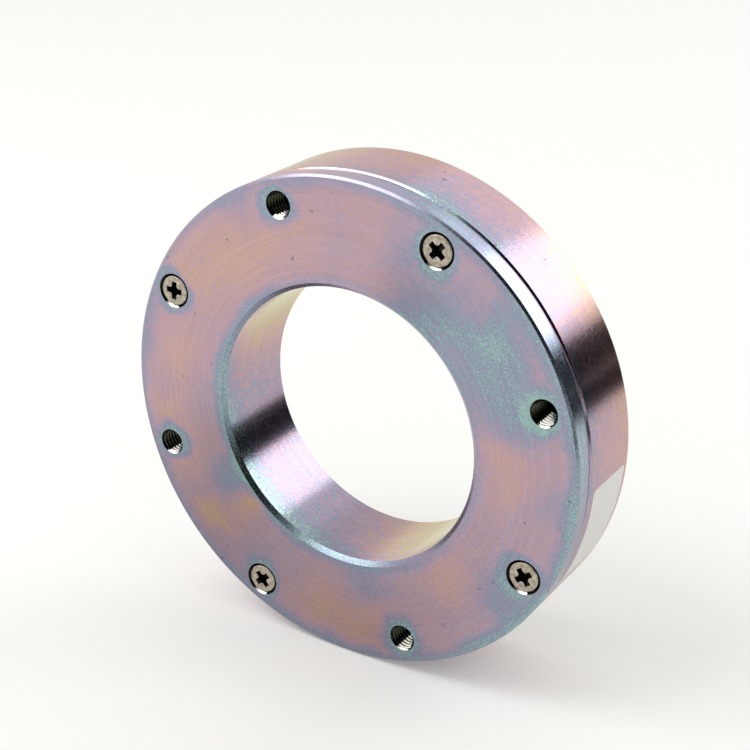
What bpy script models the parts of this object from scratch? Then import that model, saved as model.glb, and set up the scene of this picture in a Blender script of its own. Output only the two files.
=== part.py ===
"""Ring-shaped permanent magnet brake with a wide through-bore.

The brake stands on its rim. Its axis lies along Y, with the mounting face towards -Y, and the rim
rests on Z = 0. The fixed side is a front flange with the inner pole sleeve turned in one piece, an
outer pole ring held to it by four countersunk screws, and a coil, a ring of magnets and a friction
lining between the two poles.
The turning side sits in a recess in the rear: a drive ring, three leaf springs and the armature disc,
which the magnets pull on to the pole faces. A powered coil cancels the magnets and the springs lift
the armature off.
Pieces are drawn in the brake's own frame: X and Y across the front face, seen from the front, and
depth along -Z.
"""
import math

import bmesh
import bpy
from mathutils import Matrix

MM = 0.001

# Driving sizes in millimetres and degrees: the body
OUTER_DIAMETER = 112.0
OUTER_POLE_WALL = 10.0
COIL_SPACE = 8.25
INNER_POLE_WALL = 6.0
COLLAR_WALL = 1.5
LIP_WALL = 2.0
FLANGE_THICKNESS = 4.5
COLLAR_SETBACK = 2.0
BORE_CHAMFER = 1.0
FLANGE_CHAMFER = 0.5
BODY_CHAMFER = 1.2
REAR_CHAMFER = 0.3
COLLAR_CHAMFER = 0.4
SEAT_GAP = 0.3
RING_SIDES = 72

# Mounting holes and flange screws, on one circle a little inside the middle of the outer pole's wall
HOLE_CIRCLE_INSET = 1.0
HOLE_PAIRS = 4
FIRST_HOLE_ANGLE = 108.0
MOUNT_HOLE_DIAMETER = 5.0
MOUNT_MOUTH_DIAMETER = 6.8
MOUNT_HOLE_DEPTH = 12.0
SCREW_DIAMETER = 4.0
SCREW_LENGTH = 12.0
SCREW_HEAD_DIAMETER = 7.5
SCREW_HEAD_RIM = 0.35
SCREW_HEAD_SINK = 0.2
SCREW_TIP_ROOM = 1.2
RECESS_WIDTH = 4.6
RECESS_SLOT = 1.3
RECESS_DEPTH = 1.3
RECESS_TURNS = (10.0, 52.0, 28.0, 70.0)
HOLE_SIDES = 24

# Coil, magnets and lining between the poles
FORMER_LENGTH = 5.95
FORMER_WALL = 0.8
TAPE_THICKNESS = 0.5
SPACER_THICKNESS = 0.8
MAGNET_LENGTH = 3.5
MAGNET_COUNT = 12
LINING_THICKNESS = 1.2

# Lead outlet in the body ring
LEAD_ANGLE = 215.0
LEAD_BEHIND_COIL_MIDDLE = 0.8
LEAD_BUSH_DIAMETER = 3.6
LEAD_BUSH_BORE = 2.0
LEAD_SIDES = 16

# Rating label on the body ring
LABEL_TOP_ANGLE = -3.0
LABEL_BOTTOM_ANGLE = -27.0
LABEL_WIDTH = 15.0
LABEL_EDGE_MARGIN = 1.5
LABEL_THICKNESS = 0.15

# Armature, leaf springs and drive ring
ARMATURE_THICKNESS = 3.0
ARMATURE_STROKE = 0.4
ARMATURE_CHAMFER = 0.5
SPRING_CLEARANCE = 0.15
SPRING_THICKNESS = 0.4
SPRING_WIDTH = 8.0
SPRING_WAIST = 6.0
SPRING_COUNT = 3
SPRING_SPAN_ANGLE = 52.0
FIRST_SPRING_ANGLE = 64.0
RIVET_EDGE_DISTANCE = 8.9
RIVET_DIAMETER = 3.2
RIVET_HEAD_DIAMETER = 5.4
RIVET_HEAD_HEIGHT = 0.8
RIVET_SIDES = 16
RUNNING_CLEARANCE = 0.6
DRIVE_RING_THICKNESS = 2.3
DRIVE_RING_WIDTH = 6.4
DRIVE_LOBE_RADIUS = 5.0
DRIVE_LOBE_FILLET = 6.0
DRIVE_HOLE_DIAMETER = 2.5
DRIVE_HOLE_COUNT = 6

# Radii that follow from the driving sizes
OUTER_RADIUS = OUTER_DIAMETER / 2
LIP_RADIUS = OUTER_RADIUS - LIP_WALL
OUTER_POLE_RADIUS = OUTER_RADIUS - OUTER_POLE_WALL
INNER_POLE_RADIUS = OUTER_POLE_RADIUS - COIL_SPACE
BORE_RADIUS = INNER_POLE_RADIUS - INNER_POLE_WALL
COLLAR_RADIUS = BORE_RADIUS + COLLAR_WALL
HOLE_RADIUS = (OUTER_RADIUS + OUTER_POLE_RADIUS) / 2 - HOLE_CIRCLE_INSET
PACK_INNER_RADIUS = INNER_POLE_RADIUS + SEAT_GAP
PACK_OUTER_RADIUS = OUTER_POLE_RADIUS - SEAT_GAP
ARMATURE_RADIUS = LIP_RADIUS - RUNNING_CLEARANCE
ARMATURE_BORE_RADIUS = COLLAR_RADIUS + RUNNING_CLEARANCE
RIVET_CIRCLE_RADIUS = ARMATURE_RADIUS - RIVET_EDGE_DISTANCE
DRIVE_RING_BORE_RADIUS = ARMATURE_BORE_RADIUS + RUNNING_CLEARANCE
DRIVE_BAND_RADIUS = DRIVE_RING_BORE_RADIUS + DRIVE_RING_WIDTH

# Depths behind the mounting face, piece after piece
BODY_FRONT = FLANGE_THICKNESS + SEAT_GAP
FORMER_FRONT = BODY_FRONT
FORMER_BACK = FORMER_FRONT + FORMER_LENGTH
SPACER_FRONT = FORMER_BACK + SEAT_GAP
SPACER_BACK = SPACER_FRONT + SPACER_THICKNESS
MAGNET_FRONT = SPACER_BACK + SEAT_GAP
LINING_FRONT = MAGNET_FRONT + MAGNET_LENGTH + SEAT_GAP
POLE_DEPTH = LINING_FRONT + LINING_THICKNESS
ARMATURE_FRONT = POLE_DEPTH + SEAT_GAP
ARMATURE_BACK = ARMATURE_FRONT + ARMATURE_THICKNESS
SPRING_FRONT = ARMATURE_BACK + ARMATURE_STROKE + SPRING_CLEARANCE
SPRING_BACK = SPRING_FRONT + SPRING_THICKNESS
DRIVE_RING_FRONT = SPRING_BACK + SEAT_GAP
TOTAL_LENGTH = DRIVE_RING_FRONT + DRIVE_RING_THICKNESS
COLLAR_DEPTH = TOTAL_LENGTH - COLLAR_SETBACK
LEAD_DEPTH = (FORMER_FRONT + FORMER_BACK) / 2 + LEAD_BEHIND_COIL_MIDDLE

PITCH = 360 / HOLE_PAIRS
MOUNT_ANGLES = [FIRST_HOLE_ANGLE + PITCH * k for k in range(HOLE_PAIRS)]
SCREW_ANGLES = [FIRST_HOLE_ANGLE + PITCH * (k + 0.5) for k in range(HOLE_PAIRS)]
HUB_RIVET_ANGLES = [FIRST_SPRING_ANGLE + 360 / SPRING_COUNT * k for k in range(SPRING_COUNT)]
ARMATURE_RIVET_ANGLES = [angle + SPRING_SPAN_ANGLE for angle in HUB_RIVET_ANGLES]

HALF_SIDE = math.pi / RING_SIDES
AXIS_HEIGHT = OUTER_RADIUS * math.cos(HALF_SIDE)


def clear_scene():
    for thing in list(bpy.data.objects):
        bpy.data.objects.remove(thing, do_unlink=True)


def new_collection(name):
    collection = bpy.data.collections.new(name)
    bpy.context.scene.collection.children.link(collection)
    return collection


def new_material(name, color, roughness, metallic):
    material = bpy.data.materials.new(name)
    material.use_nodes = True
    shader = material.node_tree.nodes["Principled BSDF"]
    shader.inputs["Base Color"].default_value = (*color, 1.0)
    shader.inputs["Roughness"].default_value = roughness
    shader.inputs["Metallic"].default_value = metallic
    material.diffuse_color = (*color, 1.0)
    return material


def polar(radius, degrees):
    """A point in millimetres at a radius and an angle in the brake's front view."""
    angle = math.radians(degrees)
    return radius * math.cos(angle), radius * math.sin(angle)


def new_object(name, mesh, collection, material=None, parent=None):
    obj = bpy.data.objects.new(name, mesh)
    collection.objects.link(obj)
    if material:
        obj.data.materials.append(material)
    obj.parent = parent
    return obj


def new_empty(name, collection, parent=None):
    empty = bpy.data.objects.new(name, None)
    empty.empty_display_size = 10 * MM
    collection.objects.link(empty)
    empty.parent = parent
    return empty


def settle(obj):
    """Applies the object's modifiers and shades its round faces smooth."""
    evaluated = obj.evaluated_get(bpy.context.evaluated_depsgraph_get())
    mesh = bpy.data.meshes.new_from_object(evaluated)
    obj.modifiers.clear()
    obj.data = mesh
    mesh.name = obj.name
    mesh.shade_smooth()
    mesh.set_sharp_from_angle(angle=math.radians(30))


def turned(name, profile, collection, material, parent, sides=RING_SIDES):
    """A solid of revolution about the local Z axis.

    The profile lists (radius, depth), outer side first, downwards.

    A flat of the rim lies at the bottom, so the first corner is half a side off the X axis.
    """
    mesh = bpy.data.meshes.new(name)
    points = [(radius * MM, 0.0, -depth * MM) for radius, depth in profile]
    edges = [(k, k + 1) for k in range(len(points) - 1)]
    if profile[0][0] > 0:
        edges.append((len(points) - 1, 0))
    mesh.from_pydata(points, edges, [])
    obj = new_object(name, mesh, collection, material, parent)
    obj.rotation_euler = (0, 0, math.pi / sides)
    screw = obj.modifiers.new("turn", "SCREW")
    screw.steps = screw.render_steps = sides
    screw.use_merge_vertices = True
    screw.merge_threshold = 0.01 * MM
    screw.use_smooth_shade = False
    return obj


def placed_cutter(name, profile, x, y, collection, parent, sides=HOLE_SIDES):
    """A turned cutter for a round hole whose axis is parallel to the brake's, through the point x, y."""
    cutter = turned(name, profile, collection, None, parent, sides)
    cutter.location = (x * MM, y * MM, 0)
    hide_cutter(cutter)
    return cutter


def hide_cutter(cutter):
    cutter.hide_render = True
    cutter.display_type = "WIRE"


def cut(obj, cutters):
    for cutter in cutters:
        boolean = obj.modifiers.new(cutter.name, "BOOLEAN")
        boolean.operation = "DIFFERENCE"
        boolean.solver = "EXACT"
        boolean.object = cutter


def plate(name, loops, front, thickness, collection, material, parent):
    """A flat piece cut from sheet: closed outlines in millimetres, the first outside, extruded in depth."""
    curve = bpy.data.curves.new(name, "CURVE")
    curve.dimensions = "2D"
    curve.fill_mode = "BOTH"
    curve.extrude = thickness / 2 * MM
    for loop in loops:
        spline = curve.splines.new("POLY")
        spline.points.add(len(loop) - 1)
        for point, (x, y) in zip(spline.points, loop):
            point.co = (x * MM, y * MM, 0, 1)
        spline.use_cyclic_u = True
    sketch = bpy.data.objects.new(name + "_outline", curve)
    collection.objects.link(sketch)
    evaluated = sketch.evaluated_get(bpy.context.evaluated_depsgraph_get())
    mesh = bpy.data.meshes.new_from_object(evaluated)
    bpy.data.objects.remove(sketch, do_unlink=True)
    weld = bmesh.new()
    weld.from_mesh(mesh)
    bmesh.ops.remove_doubles(weld, verts=weld.verts, dist=0.001 * MM)
    bmesh.ops.recalc_face_normals(weld, faces=weld.faces)
    weld.to_mesh(mesh)
    weld.free()
    mesh.name = name
    obj = new_object(name, mesh, collection, material, parent)
    obj.location = (0, 0, -(front + thickness / 2) * MM)
    return obj


def arc(radius, start, end, steps, centre=(0.0, 0.0)):
    """Points along an arc, both ends included, in millimetres and degrees."""
    points = []
    for k in range(steps + 1):
        x, y = polar(radius, start + (end - start) * k / steps)
        points.append((centre[0] + x, centre[1] + y))
    return points


def countersunk(top_radius, shank_radius, top, length, rim=0.0):
    """Profile of a 90 degree countersunk body: rim, cone and shank, from the top down, closed on the axis."""
    cone_end = top + rim + top_radius - shank_radius
    profile = [(0.0, top), (top_radius, top)]
    if rim:
        profile.append((top_radius, top + rim))
    profile += [(shank_radius, cone_end), (shank_radius, top + length), (0.0, top + length)]
    return profile


def countersunk_hole(mouth_radius, hole_radius, face, through, below):
    """Cutter profile of a 90 degree countersunk hole that opens in the plane at the depth face."""
    cone_end = face + mouth_radius - hole_radius
    return [
        (0.0, face - below),
        (mouth_radius + below, face - below),
        (hole_radius, cone_end),
        (hole_radius, through),
        (0.0, through),
    ]


def screw_seat_radius():
    """Radius of the countersink at the front face, one seat gap clear of the screw's cone."""
    cone_start = SCREW_HEAD_SINK + SCREW_HEAD_RIM
    return SCREW_HEAD_DIAMETER / 2 + cone_start + SEAT_GAP * math.sqrt(2)


def make_flange(parts, cutters, frame, steel):
    """The front plate, the inner pole sleeve and the thin collar behind the pole face, from one blank."""
    flange = turned(
        "inner_pole_flange",
        [
            (OUTER_RADIUS - FLANGE_CHAMFER, 0.0),
            (OUTER_RADIUS, FLANGE_CHAMFER),
            (OUTER_RADIUS, FLANGE_THICKNESS),
            (INNER_POLE_RADIUS, FLANGE_THICKNESS),
            (INNER_POLE_RADIUS, POLE_DEPTH),
            (COLLAR_RADIUS, POLE_DEPTH),
            (COLLAR_RADIUS, COLLAR_DEPTH - COLLAR_CHAMFER),
            (COLLAR_RADIUS - COLLAR_CHAMFER, COLLAR_DEPTH),
            (BORE_RADIUS, COLLAR_DEPTH),
            (BORE_RADIUS, BORE_CHAMFER),
            (BORE_RADIUS + BORE_CHAMFER, 0.0),
        ],
        parts,
        steel,
        frame,
    )
    past = 1.0
    tools = []
    for k, angle in enumerate(MOUNT_ANGLES):
        x, y = polar(HOLE_RADIUS, angle)
        profile = countersunk_hole(
            MOUNT_MOUTH_DIAMETER / 2, MOUNT_HOLE_DIAMETER / 2, 0.0, FLANGE_THICKNESS + past, past
        )
        tools.append(placed_cutter(f"flange_mount_cut_{k + 1}", profile, x, y, cutters, frame))
    for k, angle in enumerate(SCREW_ANGLES):
        x, y = polar(HOLE_RADIUS, angle)
        profile = countersunk_hole(
            screw_seat_radius(), SCREW_DIAMETER / 2 + SEAT_GAP, 0.0, FLANGE_THICKNESS + past, past
        )
        tools.append(placed_cutter(f"flange_screw_cut_{k + 1}", profile, x, y, cutters, frame))
    cut(flange, tools)
    settle(flange)


def make_outer_ring(parts, cutters, frame, steel):
    """The body cylinder: outer pole, and a thin lip round the armature recess in the rear."""
    ring = turned(
        "outer_pole_ring",
        [
            (OUTER_RADIUS - BODY_CHAMFER, BODY_FRONT),
            (OUTER_RADIUS, BODY_FRONT + BODY_CHAMFER),
            (OUTER_RADIUS, TOTAL_LENGTH - REAR_CHAMFER),
            (OUTER_RADIUS - REAR_CHAMFER, TOTAL_LENGTH),
            (LIP_RADIUS, TOTAL_LENGTH),
            (LIP_RADIUS, POLE_DEPTH),
            (OUTER_POLE_RADIUS, POLE_DEPTH),
            (OUTER_POLE_RADIUS, BODY_FRONT),
        ],
        parts,
        steel,
        frame,
    )
    above = BODY_FRONT - 1.0
    tools = []
    for k, angle in enumerate(MOUNT_ANGLES):
        x, y = polar(HOLE_RADIUS, angle)
        radius = MOUNT_HOLE_DIAMETER / 2
        end = MOUNT_HOLE_DEPTH
        profile = [(0.0, above), (radius, above), (radius, end), (0.0, end + radius / 2)]
        tools.append(placed_cutter(f"ring_mount_cut_{k + 1}", profile, x, y, cutters, frame))
    for k, angle in enumerate(SCREW_ANGLES):
        x, y = polar(HOLE_RADIUS, angle)
        radius = SCREW_DIAMETER / 2 + SEAT_GAP
        floor = SCREW_HEAD_SINK + SCREW_LENGTH + SCREW_TIP_ROOM
        profile = [(0.0, above), (radius, above), (radius, floor), (0.0, floor + radius / 2)]
        tools.append(placed_cutter(f"ring_screw_cut_{k + 1}", profile, x, y, cutters, frame))
    tools.append(lead_cutter(cutters, frame))
    cut(ring, tools)
    settle(ring)


def radial_tube(name, outer, inner, start, end, sides, collection, material, frame):
    """A tube or a rod (inner = 0) along the radius at the lead outlet, between two radii of the body."""
    if inner:
        profile = [(outer, -end), (outer, -start), (inner, -start), (inner, -end)]
    else:
        profile = [(0.0, -end), (outer, -end), (outer, -start), (0.0, -start)]
    tube = turned(name, profile, collection, material, frame, sides)
    angle = math.radians(LEAD_ANGLE)
    place = Matrix.Translation((0, 0, -LEAD_DEPTH * MM))
    turn = Matrix.Rotation(angle, 4, "Z") @ Matrix.Rotation(math.pi / 2, 4, "Y")
    tube.matrix_local = place @ turn @ Matrix.Rotation(math.pi / sides, 4, "Z")
    return tube


def lead_cutter(cutters, frame):
    radius = LEAD_BUSH_DIAMETER / 2 + SEAT_GAP
    cutter = radial_tube(
        "ring_lead_cut", radius, 0, OUTER_POLE_RADIUS - 1, OUTER_RADIUS + 1, LEAD_SIDES, cutters, None, frame
    )
    hide_cutter(cutter)
    return cutter


def make_lead_bush(parts, frame, rubber):
    """Rubber bush in the lead outlet, a little below the body's outer surface."""
    bush = radial_tube(
        "lead_bush",
        LEAD_BUSH_DIAMETER / 2,
        LEAD_BUSH_BORE / 2,
        OUTER_POLE_RADIUS + SEAT_GAP,
        OUTER_RADIUS - SEAT_GAP,
        LEAD_SIDES,
        parts,
        rubber,
        frame,
    )
    settle(bush)


def recess_blade(name, x, y, degrees, cutters, frame):
    """One of the two crossing slots of a cross recess, as a flat box centred on the head's top."""
    shape = bmesh.new()
    size = Matrix.Diagonal((RECESS_WIDTH * MM, RECESS_SLOT * MM, 2 * RECESS_DEPTH * MM, 1))
    bmesh.ops.create_cube(shape, size=1, matrix=size)
    mesh = bpy.data.meshes.new(name)
    shape.to_mesh(mesh)
    shape.free()
    blade = new_object(name, mesh, cutters, None, frame)
    blade.location = (x * MM, y * MM, -SCREW_HEAD_SINK * MM)
    blade.rotation_euler = (0, 0, math.radians(degrees))
    hide_cutter(blade)
    return blade


def make_screws(parts, cutters, frame, nickel):
    """Four countersunk screws with a cross recess, each at its own angle, as hand fitting leaves them."""
    profile = countersunk(
        SCREW_HEAD_DIAMETER / 2, SCREW_DIAMETER / 2, SCREW_HEAD_SINK, SCREW_LENGTH, SCREW_HEAD_RIM
    )
    for k, angle in enumerate(SCREW_ANGLES):
        x, y = polar(HOLE_RADIUS, angle)
        screw = turned(f"flange_screw_{k + 1}", profile, parts, nickel, frame, HOLE_SIDES)
        screw.location = (x * MM, y * MM, 0)
        turn = RECESS_TURNS[k % len(RECESS_TURNS)]
        slots = [
            recess_blade(f"recess_cut_{k + 1}_{slot}", x, y, turn + 90 * slot, cutters, frame)
            for slot in (0, 1)
        ]
        cut(screw, slots)
        settle(screw)


def make_coil(parts, frame, plastic, copper, tape):
    """Coil former with two cheeks, the winding between them and the tape round it."""
    hub = PACK_INNER_RADIUS + FORMER_WALL
    former = turned(
        "coil_former",
        [
            (PACK_OUTER_RADIUS, FORMER_FRONT),
            (PACK_OUTER_RADIUS, FORMER_FRONT + FORMER_WALL),
            (hub, FORMER_FRONT + FORMER_WALL),
            (hub, FORMER_BACK - FORMER_WALL),
            (PACK_OUTER_RADIUS, FORMER_BACK - FORMER_WALL),
            (PACK_OUTER_RADIUS, FORMER_BACK),
            (PACK_INNER_RADIUS, FORMER_BACK),
            (PACK_INNER_RADIUS, FORMER_FRONT),
        ],
        parts,
        plastic,
        frame,
    )
    settle(former)
    front = FORMER_FRONT + FORMER_WALL + SEAT_GAP
    back = FORMER_BACK - FORMER_WALL - SEAT_GAP
    tape_inner = PACK_OUTER_RADIUS - TAPE_THICKNESS
    simple_ring("coil_winding", hub + SEAT_GAP, tape_inner - SEAT_GAP, front, back, parts, copper, frame)
    simple_ring("coil_tape", tape_inner, PACK_OUTER_RADIUS, front, back, parts, tape, frame)


def simple_ring(name, inner, outer, front, back, parts, material, frame):
    profile = [(outer, front), (outer, back), (inner, back), (inner, front)]
    ring = turned(name, profile, parts, material, frame)
    settle(ring)
    return ring


def make_magnets(parts, frame, material):
    """Radially magnetised segments, each a sector with a seat gap to its neighbours."""
    pitch = 360 / MAGNET_COUNT
    gap = math.degrees(SEAT_GAP / PACK_INNER_RADIUS)
    steps = max(2, round(pitch / 6))
    outline = arc(PACK_OUTER_RADIUS, gap / 2, pitch - gap / 2, steps)
    outline += arc(PACK_INNER_RADIUS, pitch - gap / 2, gap / 2, steps)
    for k in range(MAGNET_COUNT):
        magnet = plate(
            f"magnet_{k + 1:02d}", [outline], MAGNET_FRONT, MAGNET_LENGTH, parts, material, frame
        )
        magnet.rotation_euler = (0, 0, math.radians(pitch * k) + HALF_SIDE)


def make_label(parts, frame, foil):
    """Bare rating label that follows the body cylinder."""
    inner = OUTER_RADIUS + SEAT_GAP / 2
    outline = arc(inner + LABEL_THICKNESS, LABEL_BOTTOM_ANGLE, LABEL_TOP_ANGLE, 8)
    outline += arc(inner, LABEL_TOP_ANGLE, LABEL_BOTTOM_ANGLE, 8)
    front = TOTAL_LENGTH - LABEL_EDGE_MARGIN - LABEL_WIDTH
    plate("rating_label", [outline], front, LABEL_WIDTH, parts, foil, frame)


def spring_outline():
    """A leaf spring strip along local X, from its hub end at 0 to its armature end, waisted between."""
    length = 2 * RIVET_CIRCLE_RADIUS * math.sin(math.radians(SPRING_SPAN_ANGLE / 2))
    end = SPRING_WIDTH / 2
    waist = SPRING_WAIST / 2
    shoulder = math.degrees(math.asin(waist / end))
    hub_end = arc(end, shoulder, 360 - shoulder, 14)
    armature_end = arc(end, shoulder - 180, 180 - shoulder, 14, (length, 0.0))
    return length, hub_end + armature_end


def make_springs(parts, frame, empty, steel):
    """Three tangential leaf springs. Each strip joins a hub rivet to the next armature rivet."""
    length, outline = spring_outline()
    hole = RIVET_DIAMETER / 2 + SEAT_GAP
    holes = [
        list(reversed(arc(hole, 0, 360 - 360 / RIVET_SIDES, RIVET_SIDES - 1, (x, 0.0))))
        for x in (0.0, length)
    ]
    for k, angle in enumerate(HUB_RIVET_ANGLES):
        spring = plate(
            f"leaf_spring_{k + 1}", [outline] + holes, SPRING_FRONT, SPRING_THICKNESS, parts, steel, empty
        )
        x, y = polar(RIVET_CIRCLE_RADIUS, angle)
        depth = spring.location.z
        spring.location = (x * MM, y * MM, depth)
        spring.rotation_euler = (0, 0, math.radians(angle + 90 + SPRING_SPAN_ANGLE / 2))


def armature_rivet_head():
    return SPRING_BACK + SEAT_GAP


def make_armature(parts, cutters, slide, steel, rivet_steel):
    """The armature disc with countersunk rivet holes, and clearance holes for the heads of the hub rivets."""
    disc = turned(
        "armature_disc",
        [
            (ARMATURE_RADIUS, ARMATURE_FRONT),
            (ARMATURE_RADIUS, ARMATURE_BACK - ARMATURE_CHAMFER),
            (ARMATURE_RADIUS - ARMATURE_CHAMFER, ARMATURE_BACK),
            (ARMATURE_BORE_RADIUS + ARMATURE_CHAMFER, ARMATURE_BACK),
            (ARMATURE_BORE_RADIUS, ARMATURE_BACK - ARMATURE_CHAMFER),
            (ARMATURE_BORE_RADIUS, ARMATURE_FRONT),
        ],
        parts,
        steel,
        slide,
    )
    tools = []
    head = RIVET_HEAD_DIAMETER / 2
    shank = RIVET_DIAMETER / 2
    past = ARMATURE_BACK + 1.0
    for k, angle in enumerate(ARMATURE_RIVET_ANGLES):
        x, y = polar(RIVET_CIRCLE_RADIUS, angle)
        profile = countersunk_hole(head + SEAT_GAP, shank + SEAT_GAP, ARMATURE_FRONT, past, 1.0)
        tools.append(placed_cutter(f"armature_rivet_cut_{k + 1}", profile, x, y, cutters, slide, RIVET_SIDES))
    for k, angle in enumerate(HUB_RIVET_ANGLES):
        x, y = polar(RIVET_CIRCLE_RADIUS, angle)
        radius = head + RUNNING_CLEARANCE
        front = ARMATURE_FRONT - 1.0
        profile = [(0.0, front), (radius, front), (radius, past), (0.0, past)]
        tools.append(placed_cutter(f"armature_head_cut_{k + 1}", profile, x, y, cutters, slide, RIVET_SIDES))
    cut(disc, tools)
    settle(disc)
    for k, angle in enumerate(ARMATURE_RIVET_ANGLES):
        x, y = polar(RIVET_CIRCLE_RADIUS, angle)
        top = ARMATURE_FRONT + SEAT_GAP
        close = armature_rivet_head()
        rivet_profile = [
            (0.0, top),
            (head - SEAT_GAP, top),
            (shank, top + head - SEAT_GAP - shank),
            (shank, close),
            (head, close),
            (head, close + RIVET_HEAD_HEIGHT / 2),
            (head * 0.75, close + RIVET_HEAD_HEIGHT),
            (0.0, close + RIVET_HEAD_HEIGHT),
        ]
        rivet = turned(f"armature_rivet_{k + 1}", rivet_profile, parts, rivet_steel, slide, RIVET_SIDES)
        rivet.location = (x * MM, y * MM, 0)
        settle(rivet)


def drive_outline():
    """Outer edge of the drive ring: a round band with a lobe at each hub rivet and fillets between."""
    fillet_distance = DRIVE_BAND_RADIUS + DRIVE_LOBE_FILLET
    reach = DRIVE_LOBE_RADIUS + DRIVE_LOBE_FILLET
    across = fillet_distance**2 + RIVET_CIRCLE_RADIUS**2 - reach**2
    spread = math.degrees(math.acos(across / (2 * fillet_distance * RIVET_CIRCLE_RADIUS)))
    x, y = polar(fillet_distance, spread)
    lean = math.degrees(math.atan2(y, x - RIVET_CIRCLE_RADIUS))
    pitch = 360 / SPRING_COUNT
    band_steps = round((pitch - 2 * spread) / (360 / RING_SIDES))
    points = []
    for angle in HUB_RIVET_ANGLES:
        before = polar(fillet_distance, angle - spread)
        after = polar(fillet_distance, angle + spread)
        lobe = polar(RIVET_CIRCLE_RADIUS, angle)
        points += arc(DRIVE_LOBE_FILLET, angle + 180 - spread, angle + 180 - lean, 5, before)
        points += arc(DRIVE_LOBE_RADIUS, angle - lean, angle + lean, 14, lobe)[1:]
        points += arc(DRIVE_LOBE_FILLET, angle + 180 + lean, angle + 180 + spread, 5, after)[1:]
        points += arc(DRIVE_BAND_RADIUS, angle + spread, angle + pitch - spread, band_steps)[1:-1]
    return points


def make_drive_ring(parts, cutters, rotor, steel, rivet_steel):
    """The lobed drive ring with tapped holes for the shaft flange, and its three countersunk hub rivets."""
    bore = list(reversed(arc(DRIVE_RING_BORE_RADIUS, 0, 360 - 360 / RING_SIDES, RING_SIDES - 1)))
    ring = plate(
        "drive_ring", [drive_outline(), bore], DRIVE_RING_FRONT, DRIVE_RING_THICKNESS, parts, steel, rotor
    )
    tools = []
    head = RIVET_HEAD_DIAMETER / 2
    shank = RIVET_DIAMETER / 2
    for k, angle in enumerate(HUB_RIVET_ANGLES):
        x, y = polar(RIVET_CIRCLE_RADIUS, angle)
        profile = [
            (0.0, DRIVE_RING_FRONT - 1.0),
            (shank + SEAT_GAP, DRIVE_RING_FRONT - 1.0),
            (shank + SEAT_GAP, TOTAL_LENGTH + shank - head),
            (head + SEAT_GAP + 1.0, TOTAL_LENGTH + 1.0),
            (0.0, TOTAL_LENGTH + 1.0),
        ]
        tools.append(placed_cutter(f"drive_rivet_cut_{k + 1}", profile, x, y, cutters, rotor, RIVET_SIDES))
    step = 360 / DRIVE_HOLE_COUNT
    circle = (DRIVE_RING_BORE_RADIUS + DRIVE_BAND_RADIUS) / 2
    for k in range(DRIVE_HOLE_COUNT):
        x, y = polar(circle, FIRST_SPRING_ANGLE + step * k)
        radius = DRIVE_HOLE_DIAMETER / 2
        front, back = DRIVE_RING_FRONT - 1.0, TOTAL_LENGTH + 1.0
        profile = [(0.0, front), (radius, front), (radius, back), (0.0, back)]
        tools.append(placed_cutter(f"drive_hole_cut_{k + 1}", profile, x, y, cutters, rotor, RIVET_SIDES))
    cut(ring, tools)
    settle(ring)
    for k, angle in enumerate(HUB_RIVET_ANGLES):
        x, y = polar(RIVET_CIRCLE_RADIUS, angle)
        close = SPRING_FRONT - SEAT_GAP
        tail = TOTAL_LENGTH - SEAT_GAP
        profile = [
            (0.0, close - RIVET_HEAD_HEIGHT),
            (head * 0.75, close - RIVET_HEAD_HEIGHT),
            (head, close - RIVET_HEAD_HEIGHT / 2),
            (head, close),
            (shank, close),
            (shank, tail - (head - SEAT_GAP - shank)),
            (head - SEAT_GAP, tail),
            (0.0, tail),
        ]
        rivet = turned(f"hub_rivet_{k + 1}", profile, parts, rivet_steel, rotor, RIVET_SIDES)
        rivet.location = (x * MM, y * MM, 0)
        settle(rivet)


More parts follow.
